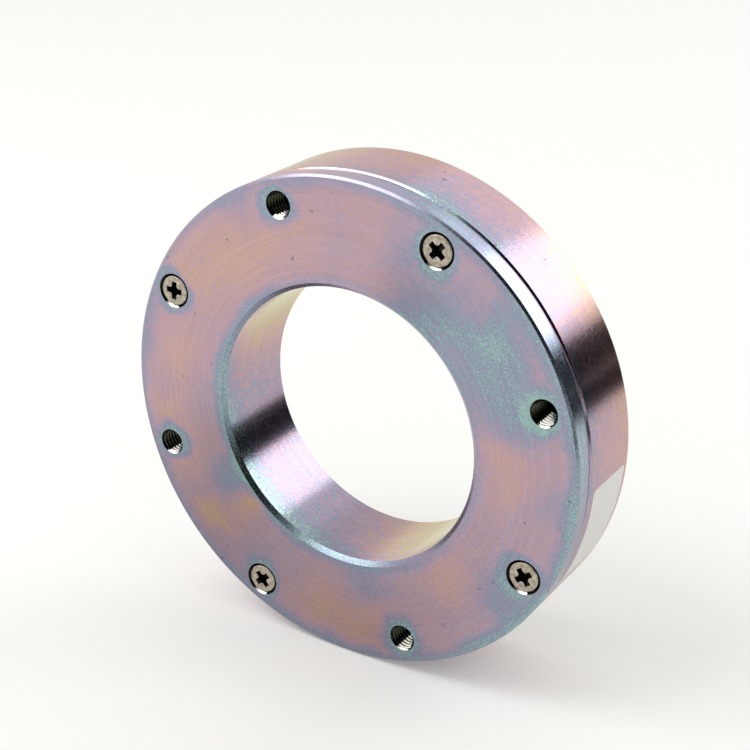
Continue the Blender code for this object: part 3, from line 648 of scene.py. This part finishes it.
ferriteLook = {"rough": 0.42, "grainMm": 0.6, "bumpMm": 0.01, "metal": 0.6}
magnetStone = mottled("sinteredFerrite", ("#4A4A4C", "#5A5A5D"), ferriteLook)
nylonLook = {"rough": 0.45, "grainMm": 0.4, "bumpMm": 0.01}
formerPlastic = mottled("mouldedNylonFormer", ("#1C1D20", "#24262A"), nylonLook)
tapeLook = {"rough": 0.35, "grainMm": 0.5, "bumpMm": 0.006}
windingTape = mottled("polyesterTape", ("#C9A52F", "#D4B243"), tapeLook)
liningLook = {"rough": 0.85, "grainMm": 0.35, "bumpMm": 0.03}
lining = mottled("frictionLining", ("#2A241D", "#5A4A36"), liningLook)
rubberLook = {"rough": 0.6, "grainMm": 0.3, "bumpMm": 0.01, "sheen": 0.1}
rubber = mottled("blackRubberBush", ("#151515", "#1E1E1F"), rubberLook)
say("materials")


# Front flange with the inner pole sleeve, turned from one blank

edgeBreak = 0.15
flangeProfile = [
    (body["bore"] + body["boreChamfer"], 0.0),
    (outerRadius - body["flangeChamfer"], 0.0),
    (outerRadius, body["flangeChamfer"]),
    (outerRadius, body["flange"] - body["flangeBackEdge"]),
    (outerRadius - body["flangeBackEdge"], body["flange"]),
    (body["poleRadius"], body["flange"]),
    (body["poleRadius"], body["poleDepth"]),
    (body["collarRadius"], body["poleDepth"]),
    (body["collarRadius"], body["collarDepth"] - 0.4),
    (body["collarRadius"] - 0.4, body["collarDepth"]),
    (body["bore"] + edgeBreak, body["collarDepth"]),
    (body["bore"], body["collarDepth"] - edgeBreak),
    (body["bore"], body["boreChamfer"]),
    (body["bore"] + body["boreChamfer"], 0.0),
]
flange = place(turned("mountingFlange", flangeProfile, body["sides"]))


def drill(name, mouth, core, angle):
    # a drill with its countersink, from 1 mm above the face down to its point
    mouth, core, above = holes[mouth] / 2, holes[core] / 2, 1.0
    end, tip = holes["tapDepth"], holes["tapDepth"] + holes["point"]
    steps = [(mouth + above, -above), (core, mouth - core), (core, end), (0.05, tip)]
    return place(turned(name, steps, holes["sides"]), angle, holes["circle"])


boolean(flange, [drill("tapDrill", "mouth", "core", angle) for angle in holes["tapped"]])
boolean(flange, [drill("sinkDrill", "sink", "clearance", angle) for angle in holes["screws"]])
soften(flange, 0.05)
say("flange")

# Body ring behind it

ringProfile = [
    (body["ringPole"], body["ringFront"]),
    (outerRadius - body["ringLand"] - 0.2, body["ringFront"]),
    (outerRadius - body["ringLand"], body["ringFront"] + 0.2),
    (outerRadius - body["ringLand"], body["ringFront"] + body["ringChamfer"] - body["ringLand"]),
    (outerRadius, body["ringFront"] + body["ringChamfer"]),
    (outerRadius, totalLength - body["rearChamfer"]),
    (outerRadius - body["rearChamfer"], totalLength),
    (body["ringLip"], totalLength),
    (body["ringLip"], body["poleDepth"]),
    (body["ringPole"], body["poleDepth"]),
    (body["ringPole"], body["ringFront"]),
]
ring = place(turned("outerPoleBody", ringProfile, body["sides"]))
leadOutlet = {"angle": 215, "depth": 8.58, "bore": 4.2, "bush": 3.6, "wire": 2.0}


def radial(obj, angle, depth):
    # lays the local Z axis along the radius at a front-view angle, from the brake's axis out
    only(obj)
    obj.matrix_world = (
        Matrix.Translation((0, frontY + depth * mm, axisHeight))
        @ Matrix.Rotation(math.radians(-angle), 4, "Y")
        @ Matrix.Rotation(math.pi / 2, 4, "Y")
    )
    bpy.ops.object.transform_apply(location=True, rotation=True, scale=True)
    return obj


outletSteps = [(leadOutlet["bore"] / 2, body["ringPole"] - 1), (leadOutlet["bore"] / 2, outerRadius + 1)]
outletDrill = radial(turned("outletDrill", outletSteps, 32), leadOutlet["angle"], leadOutlet["depth"])
tapDrills = [drill("tapDrill", "mouth", "core", angle) for angle in holes["tapped"]]
boolean(ring, [*tapDrills, outletDrill])
soften(ring, 0.05)
say("body ring")


# Right-hand thread of the tapped holes: one helical ridge, trimmed by the mouth's chamfer

def threadRidge():
    core, root = holes["tapDrill"] / 2, holes["thread"] / 2
    pitch = holes["pitch"]
    turns = int(holes["tapDepth"] / pitch) - 1
    bpy.ops.mesh.primitive_plane_add(size=pitch * mm, rotation=(math.pi / 2, 0, 0))
    ridge = bpy.context.object
    ridge.name = ridge.data.name = "threadRidge"
    bpy.ops.object.transform_apply(location=True, rotation=True, scale=True)
    for corner in ridge.data.vertices:
        inner = corner.co.x < 0
        halfWidth = holes["crest"] if inner else holes["root"]
        side = 1 if corner.co.z > 0 else -1
        corner.co = ((core if inner else root) * mm, 0, side * halfWidth * pitch * mm)
    edit(ridge, "SELECT")
    bpy.ops.mesh.delete(type="ONLY_FACE")
    done()
    screw = ridge.modifiers.new("helix", "SCREW")
    screw.steps = screw.render_steps = 40
    screw.iterations = turns
    screw.screw_offset = pitch * mm
    screw.use_merge_vertices = False
    applyAll(ridge)
    edit(ridge, "SELECT")
    bpy.ops.mesh.remove_doubles(threshold=0.002 * mm)
    bpy.ops.mesh.select_mode(type="EDGE")
    bpy.ops.mesh.select_all(action="DESELECT")
    bpy.ops.mesh.select_non_manifold(
        extend=False,
        use_wire=False,
        use_boundary=True,
        use_multi_face=False,
        use_non_contiguous=False,
        use_verts=False,
    )
    bpy.ops.mesh.fill_holes(sides=4)
    bpy.ops.mesh.select_all(action="SELECT")
    bpy.ops.mesh.normals_make_consistent(inside=False)
    done()
    mouth = holes["mouth"] / 2
    cone = turned("mouthCone", [(mouth + 1, -1.0), (mouth, 0.0), (0.4, mouth - 0.4)], holes["sides"])
    boolean(ridge, [cone])
    bpy.ops.object.shade_smooth_by_angle(angle=math.radians(35))
    return ridge


firstRidge = threadRidge()
threads = []
for count, angle in enumerate(holes["tapped"], 1):
    thread = firstRidge if count == len(holes["tapped"]) else copyOf(firstRidge, "")
    thread.name = thread.data.name = f"tappedThread{count}"
    threads.append(place(thread, angle, holes["circle"], holes["threadTurn"] * count))
say("threads")


# Countersunk screws with a cross recess

screwLook = {
    "head": 6.75,
    "sink": 0.06,
    "rim": 0.3,
    "shank": 4.0,
    "length": 12.0,
    "recess": 4.7,
    "wing": 1.5,
    "depth": 2.0,
    "taper": 0.42,  # the wings at their point, as a share of their size at the mouth
    "turns": (-4, 40, 34, 46),
}


def recessTool():
    # cross punch: two crossed blades that taper towards the point, and a round core between them
    blades = []
    for turn in (0, 90):
        bpy.ops.mesh.primitive_cube_add(size=1, location=(0, 0, 0.5))
        blade = bpy.context.object
        blade.scale = (screwLook["recess"] * mm, screwLook["wing"] * mm, screwLook["depth"] * 1.25 * mm)
        blade.location = (0, 0, (screwLook["sink"] + screwLook["depth"] * 0.375) * mm)
        blade.rotation_euler = (0, 0, math.radians(turn))
        bpy.ops.object.transform_apply(location=True, rotation=True, scale=True)
        # faces are picked, with nothing selected before, so that only the deep end is drawn in
        edit(blade)
        done()
        deep = max(v.co.z for v in blade.data.vertices)
        for face in blade.data.polygons:
            corners = [blade.data.vertices[index].co.z for index in face.vertices]
            face.select = all(abs(depth - deep) < 0.01 * mm for depth in corners)
        bpy.ops.object.mode_set(mode="EDIT")
        taper = screwLook["taper"]
        bpy.ops.transform.resize(value=(taper, taper, 1), center_override=(0, 0, deep))
        bpy.ops.mesh.select_all(action="SELECT")
        done()
        blades.append(blade)
    top = screwLook["sink"]
    core = turned("recessCore", [(1.3, top - 0.3), (1.2, top), (0.7, top + screwLook["depth"])], 16)
    boolean(blades[0], [blades[1], core], "UNION")
    return blades[0]


def makeScrew(name):
    head, shank = screwLook["head"] / 2, screwLook["shank"] / 2
    top = screwLook["sink"]
    cone = top + screwLook["rim"] + head - shank
    profile = [
        (0.4, top),
        (head - 0.25, top),
        (head, top + 0.15),
        (head, top + screwLook["rim"]),
        (shank, cone),
        (shank, top + screwLook["length"] - 0.6),
        (shank - 0.5, top + screwLook["length"]),
    ]
    screw = turned(name, profile, holes["sides"])
    boolean(screw, [recessTool()])
    soften(screw, 0.06)
    return screw


firstScrew = makeScrew("flangeScrew")
screws = []
for count, angle in enumerate(holes["screws"], 1):
    screw = firstScrew if count == len(holes["screws"]) else copyOf(firstScrew, "")
    screw.name = screw.data.name = f"flangeScrew{count}"
    turn = screwLook["turns"][count - 1]
    screws.append(place(screw, angle, holes["circle"], turn))
say("screws")


# Finish and body of the fixed side

def holeSpot(face, angles):
    # a face's middle about the nearest of some hole axes: distance in mm and angle in degrees
    spots = []
    for angle in angles:
        x = face.center.x / mm - holes["circle"] * math.cos(math.radians(angle))
        z = (face.center.z - axisHeight) / mm - holes["circle"] * math.sin(math.radians(angle))
        spots.append((math.hypot(x, z), math.degrees(math.atan2(z, x)) % 360))
    return min(spots)


finishPiece(flange, "stator", zincFace, ["inner_pole_flange"])
finishPiece(ring, "stator", zincBody, ["outer_pole_ring"])


def zoneFaces(obj, material, wanted):
    # gives the faces of one zone their own finish; a zone is asked by face, radius and depth in mm
    obj.data.materials.append(material)
    index = len(obj.data.materials) - 1
    for face in obj.data.polygons:
        radius = math.hypot(face.center.x, face.center.z - axisHeight) / mm
        depth = (face.center.y - frontY) / mm
        if wanted(face, radius, depth):
            face.material_index = index


zones = {
    "slack": 0.02,  # mm, for faces that lie on a zone's border
    # front-view angles in degrees about a hole's axis, of the painted glints at the lips, flanks and
    # mouths and of the painted dim glint on the flanks at the left
    "tapLip": (238, 300),
    "sinkLip": (235, 285),
    "brightFlank": (246, 318),
    "brightMouth": (252, 296),
    "dimGlintFlank": (150, 220),
    # distances in mm from a hole's axis
    "tapLipAway": (2.7, holes["mouth"] / 2 + 0.02),
    "sinkLipAway": (2.2, holes["sink"] / 2 + 0.02),
    "recessEnd": (1.5, 2.5),
    "crest": 2.95,
    "crestDepth": 6.0,
}


def between(value, limits):
    return limits[0] < value < limits[1]


def inBore(face, radius, depth):
    return radius < body["bore"] + zones["slack"]


def onRim(face, radius, depth):
    return radius > outerRadius - 0.1 or depth > 0.55 and radius > body["collarRadius"] - 0.25


# painted shade: the walls of a cross recess are given a dark finish
def inRecess(face, radius, depth):
    away = holeSpot(face, holes["screws"])[0]
    return depth > screwLook["sink"] + 0.06 and away < zones["recessEnd"][1]


# painted shade: the outer edge of each head is given the dark finish of the holes
def onHeadEdge(face, radius, depth):
    return holeSpot(face, holes["screws"])[0] > screwLook["head"] / 2 - 0.06


def inTapped(face, radius, depth):
    # the pole face behind a hole's end lies on the same circle and keeps its own finish
    inReach = depth < holes["tapDepth"] + holes["point"] + 0.1
    return inReach and holeSpot(face, holes["tapped"])[0] < holes["mouth"] / 2 + zones["slack"]


# painted shade: the walls of the holes and countersinks are given a dark finish
def inHole(face, radius, depth):
    away = holeSpot(face, holes["screws"])[0]
    inSink = away < holes["sink"] / 2 + zones["slack"] and depth < body["flange"]
    return depth > 0.04 and (inTapped(face, radius, depth) or inSink)


def atLip(face, radius, depth):
    # painted glint: the lower edge of each mouth is given bright metal
    tapAway, tapAngle = holeSpot(face, holes["tapped"])
    sinkAway, sinkAngle = holeSpot(face, holes["screws"])
    tapLip = between(tapAway, zones["tapLipAway"]) and between(tapAngle, zones["tapLip"]) and depth < 0.7
    sinkLip = between(sinkAway, zones["sinkLipAway"]) and between(sinkAngle, zones["sinkLip"])
    return depth > zones["slack"] and (tapLip or sinkLip)


# painted glint: thread flanks at the lower right of each hole, and at the bottom of its mouth, are given
# bright metal
def onBrightCrest(face, radius, depth):
    away, angle = holeSpot(face, holes["tapped"])
    flank = face.normal.y < -0.3 and between(angle, zones["brightFlank"])
    atMouth = depth < 1.3 and between(angle, zones["brightMouth"])
    return depth < zones["crestDepth"] and away < zones["crest"] and (flank or atMouth)


def onRecessLip(face, radius, depth):
    # painted glint: the lower end walls of a cross recess are given bright metal
    atEnd = between(holeSpot(face, holes["screws"])[0], zones["recessEnd"])
    return depth > screwLook["sink"] + 0.06 and atEnd and face.normal.z > 0.55


# painted dim glint: thread flanks at the left of each hole are given a grey metal, lighter than the dark
# walls
def onDimGlintCrest(face, radius, depth):
    away, angle = holeSpot(face, holes["tapped"])
    flank = face.normal.y < -0.3 and between(angle, zones["dimGlintFlank"])
    return depth < zones["crestDepth"] and away < zones["crest"] and flank


zoneFaces(flange, zincBore, inBore)
zoneFaces(flange, zincRim, onRim)
zoneFaces(flange, paintedShadeWall, inHole)
zoneFaces(flange, paintedGlint, atLip)
# painted shade: the tapped holes of the body ring and the threads get the dark finish
zoneFaces(ring, paintedShadeWall, inTapped)
for thread in threads:
    finishPiece(thread, "stator", paintedShadeWall)
    zoneFaces(thread, paintedGlint, onBrightCrest)
    zoneFaces(thread, dimGlintCrest, onDimGlintCrest)
for count, screw in enumerate(screws, 1):
    finishPiece(screw, "stator", nickel, [f"flange_screw_{count}"])
    zoneFaces(screw, paintedShadeRecess, inRecess)
    zoneFaces(screw, paintedGlint, onRecessLip)
    zoneFaces(screw, paintedShadeWall, onHeadEdge)


# Bare rating plate on the body ring, a thin foil bent round it

label = {
    "top": -3.0,
    "bottom": -27.0,
    "front": 7.5,
    "width": 15.0,
    "thick": 0.1,
    "lift": 0.03,
    "corner": 0.9,
    "bends": 40,
}


def makeLabel():
    bpy.ops.mesh.primitive_plane_add(size=1)
    foil = bpy.context.object
    foil.name = foil.data.name = "ratingPlate"
    span = math.radians(label["top"] - label["bottom"]) * outerRadius
    foil.scale = (span * mm, label["width"] * mm, 1)
    bpy.ops.object.transform_apply(location=True, rotation=True, scale=True)
    edit(foil, "SELECT")
    bpy.ops.mesh.select_mode(type="VERT")
    bpy.ops.mesh.bevel(offset=label["corner"] * mm, segments=6, affect="VERTICES")
    for step in range(1, label["bends"]):
        x = (-span / 2 + span * step / label["bends"]) * mm
        bpy.ops.mesh.select_all(action="SELECT")
        bpy.ops.mesh.bisect(plane_co=(x, 0, 0), plane_no=(1, 0, 0))
    done()
    middle = (label["top"] + label["bottom"]) / 2
    lift = outerRadius + label["lift"]
    for vertex in foil.data.vertices:
        angle = math.radians(middle) + vertex.co.x / mm / outerRadius
        depth = label["front"] + label["width"] / 2 + vertex.co.y / mm
        vertex.co = (
            lift * math.cos(angle) * mm,
            frontY + depth * mm,
            axisHeight + lift * math.sin(angle) * mm,
        )
    solid = foil.modifiers.new("foil", "SOLIDIFY")
    solid.thickness = label["thick"] * mm
    solid.offset = 1
    applyAll(foil)
    outward(foil)
    bpy.ops.object.shade_smooth_by_angle(angle=math.radians(30))
    return foil


foilLook, foilTree, foilShader = newMaterial("satinLabelFoil", {"Metallic": 0.35, "Roughness": 0.38})
foilPoint = brakePlace(foilTree)
foilGrain = addNode(foilTree, "TexNoise", Vector=foilPoint, Scale=3.0, Detail=3.0)
foilColour = addNode(foilTree, "ValToRGB", foilGrain)
setStops(foilColour, ((0.3, "#D4D3CF"), (0.7, "#E2E1DD")))
foilTree.links.new(foilColour, foilShader.inputs["Base Color"])
foilRough = addNode(foilTree, "MapRange LINEAR", foilGrain, 0.3, 0.7, 0.33, 0.45)
foilTree.links.new(foilRough, foilShader.inputs["Roughness"])
finishPiece(makeLabel(), "stator", foilLook, ["rating_label"])
say("rating plate")


# Lead bush, a rubber sleeve just below the surface of the body

bushSteps = [
    (leadOutlet["wire"] / 2 + 0.25, outerRadius - 0.25),
    (leadOutlet["bush"] / 2, outerRadius - 0.25),
    (leadOutlet["bush"] / 2, body["ringPole"] + 0.3),
    (leadOutlet["wire"] / 2, body["ringPole"] + 0.3),
    (leadOutlet["wire"] / 2, outerRadius - 0.5),
    (leadOutlet["wire"] / 2 + 0.25, outerRadius - 0.25),
]
bush = radial(turned("leadBush", bushSteps, 32), leadOutlet["angle"], leadOutlet["depth"])
soften(bush, 0.08)
finishPiece(bush, "stator", rubber, ["lead_bush"])


# Rear side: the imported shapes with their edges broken

def refined(node, name, bodyName, material, width=0.12, bends=None):
    only(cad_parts[node])
    bpy.ops.object.duplicate()
    piece = bpy.context.object
    piece.parent = None
    piece.matrix_world = Matrix.Identity(4)
    for key in list(piece.keys()):
        if key.startswith("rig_"):
            del piece[key]
    piece.name = piece.data.name = name
    edit(piece, "SELECT")
    bpy.ops.mesh.customdata_custom_splitnormals_clear()
    bpy.ops.mesh.remove_doubles(threshold=0.001 * mm)
    bpy.ops.mesh.dissolve_limited(angle_limit=math.radians(0.5))
    done()
    soften(piece, width)
    if bends is None:
        return finishPiece(piece, bodyName, material, [node])
    # a leaf spring runs from a rivet on the rotor to one on the armature; here it keeps its place and is
    # attached to no body
    dress(piece, material)
    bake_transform(piece)
    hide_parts(node)
    return piece


refined("armature_disc", "armatureDisc", "armature", groundSteel)
refined("drive_ring", "driveRing", "rotor", groundSteel, 0.2)
for count in (1, 2, 3):
    hub, far, spring = f"hub_rivet_{count}", f"armature_rivet_{count}", f"leaf_spring_{count}"
    refined(hub, f"hubRivet{count}", "rotor", rivetSteel, 0.1)
    refined(far, f"armatureRivet{count}", "armature", rivetSteel, 0.15)
    refined(spring, f"leafSpring{count}", "", springSteel, 0.08, [hub, far])
say("rear side")


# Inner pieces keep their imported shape

inside = {
    "coil_former": formerPlastic,
    "coil_winding": copper,
    "coil_tape": windingTape,
    "spacer_ring": brass,
    "friction_lining": lining,
}
inside.update({f"magnet_{count:02d}": magnetStone for count in range(1, 13)})
for node, material in inside.items():
    dress(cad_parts[node], material)
say("inner pieces")


# Studio: pale floor, soft lamps, dark cards, camera

studio = {
    "floor": "#F4F4F0",
    "floorGlow": 0.10,
    "ambient": 0.78,
    "card": "#060607",
}
softboxes = {
    "keySoftbox": {
        "toward": (-0.49, -0.39, 0.78),
        "across": (-0.5, 0.25, -0.2),
        "away": 1.2,
        "wide": 0.95,
        "high": 0.42,
        "radiance": 3.2,
    },
    "backSoftbox": {
        "toward": (0.439, 0.772, 0.460),
        "across": (-0.916, 0.351, 0.193),
        "away": 1.5,
        "wide": 0.73,
        "high": 0.68,
        "radiance": 1.75,
    },
}
darkCards = {
    # middle, width and height in metres, the way it faces and the line that its width follows
    "sideCard": ((1.017, 1.105, 0.024), 0.80, 0.75, (0.63, 0.776, 0.0), (0.688, -0.559, 0.462)),
    "tableSheet": ((0.558, 0.687, 0.001), 0.34, 0.97, (0.0, 0.0, -1.0), (0.776, -0.63, 0.0)),
    "frontCard": ((0.683, -0.622, 0.568), 1.10, 1.27, (0.42, -0.68, 0.60), (0.85, 0.53, 0.0)),
    "frontSheet": ((0.50, -0.28, 0.001), 0.45, 0.40, (0.0, 0.0, -1.0), (1.0, 0.0, 0.0)),
}


def seenShare(tree):
    # 1 for what the camera sees, straight, in a mirror or through glass, and 0 for other light
    path = addNode(tree, "LightPath").node.outputs
    seen = addNode(tree, "Math MAXIMUM", path["Is Camera Ray"], path["Is Glossy Ray"])
    return addNode(tree, "Math MAXIMUM", seen, path["Is Transmission Ray"])


def makeFloor():
    bpy.ops.mesh.primitive_plane_add(size=8.0, location=(0, 0, 0))
    floor = bpy.context.object
    floor.name = "studioFloor"
    look = {
        "Roughness": 0.9,
        "Specular IOR Level": 0.0,
        "Base Color": linear(studio["floor"]),
        "Emission Color": (1.0, 1.0, 1.0, 1.0),
    }
    material, tree, shader = newMaterial("paleFloor", look)
    glow = addNode(tree, "Math MULTIPLY", seenShare(tree), studio["floorGlow"])
    tree.links.new(glow, shader.inputs["Emission Strength"])
    floor.data.materials.append(material)


def facing(toward, across):
    # local Z points away from the brake, local X follows the given line across
    zAxis = Vector(toward).normalized()
    xAxis = (Vector(across) - zAxis * zAxis.dot(Vector(across))).normalized()
    yAxis = zAxis.cross(xAxis)
    return Matrix((xAxis, yAxis, zAxis)).transposed().to_euler()


def softbox(name, settings):
    lamp = bpy.data.lights.new(name, "AREA")
    lamp.shape = "RECTANGLE"
    lamp.size = settings["wide"]
    lamp.size_y = settings["high"]
    lamp.energy = settings["radiance"] * math.pi * settings["wide"] * settings["high"]
    holder = bpy.data.objects.new(name, lamp)
    bpy.context.scene.collection.objects.link(holder)
    away = Vector(settings["toward"]).normalized() * settings["away"]
    holder.location = Vector((0, 0, axisHeight)) + away
    holder.rotation_euler = facing(settings["toward"], settings["across"])
    holder.visible_camera = False


def darkCard(name, centre, width, height, toward, across):
    # a black studio card that only shows as a dark band in the metal
    bpy.ops.mesh.primitive_plane_add(size=1.0)
    card = bpy.context.object
    card.name = name
    card.scale = (width, height, 1)
    card.rotation_euler = facing(toward, across)
    card.location = centre
    look = {"Roughness": 0.9, "Specular IOR Level": 0.0, "Base Color": linear(studio["card"])}
    card.data.materials.append(newMaterial(name + "Paper", look)[0])
    card.visible_camera = False
    card.visible_diffuse = False
    card.visible_shadow = False


def makeWorld():
    world = bpy.data.worlds.new("studioWorld")
    bpy.context.scene.world = world
    world.use_nodes = True
    tree = world.node_tree
    tree.nodes.clear()
    strength = addNode(tree, "MapRange LINEAR", seenShare(tree), 0.0, 1.0, studio["ambient"], 1.0)
    light = addNode(tree, "Background", (1.0, 1.0, 1.0, 1.0), strength)
    addNode(tree, "OutputWorld", light)


view = {
    "azimuth": 32.21,
    "elevation": 23.74,
    "aside": 0.66,
    "above": 7.48,
    "distance": 352.8,
    "focalPixels": 1599.2,
    "imagePixels": 750,
}


def makeCamera():
    azimuth, elevation = math.radians(view["azimuth"]), math.radians(view["elevation"])
    back = Vector((
        math.sin(azimuth) * math.cos(elevation),
        -math.cos(azimuth) * math.cos(elevation),
        math.sin(elevation),
    ))
    right = Vector((math.cos(azimuth), math.sin(azimuth), 0))
    target = Vector((0, 0, axisHeight)) + (right * view["aside"] + back.cross(right) * view["above"]) * mm
    camera = bpy.data.cameras.new("photoCamera")
    camera.sensor_width = 36.0
    camera.lens = view["focalPixels"] / view["imagePixels"] * camera.sensor_width
    camera.clip_start, camera.clip_end = 0.01, 20.0
    holder = bpy.data.objects.new("photoCamera", camera)
    bpy.context.scene.collection.objects.link(holder)
    holder.location = target + back * view["distance"] * mm
    holder.rotation_euler = (-back).to_track_quat("-Z", "Y").to_euler()
    bpy.context.scene.camera = holder


makeFloor()
makeWorld()
for name, settings in softboxes.items():
    softbox(name, settings)
for name, card in darkCards.items():
    darkCard(name, *card)
makeCamera()
bpy.context.scene.view_settings.view_transform = "Standard"
say("studio")

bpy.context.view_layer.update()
say("sizes written")
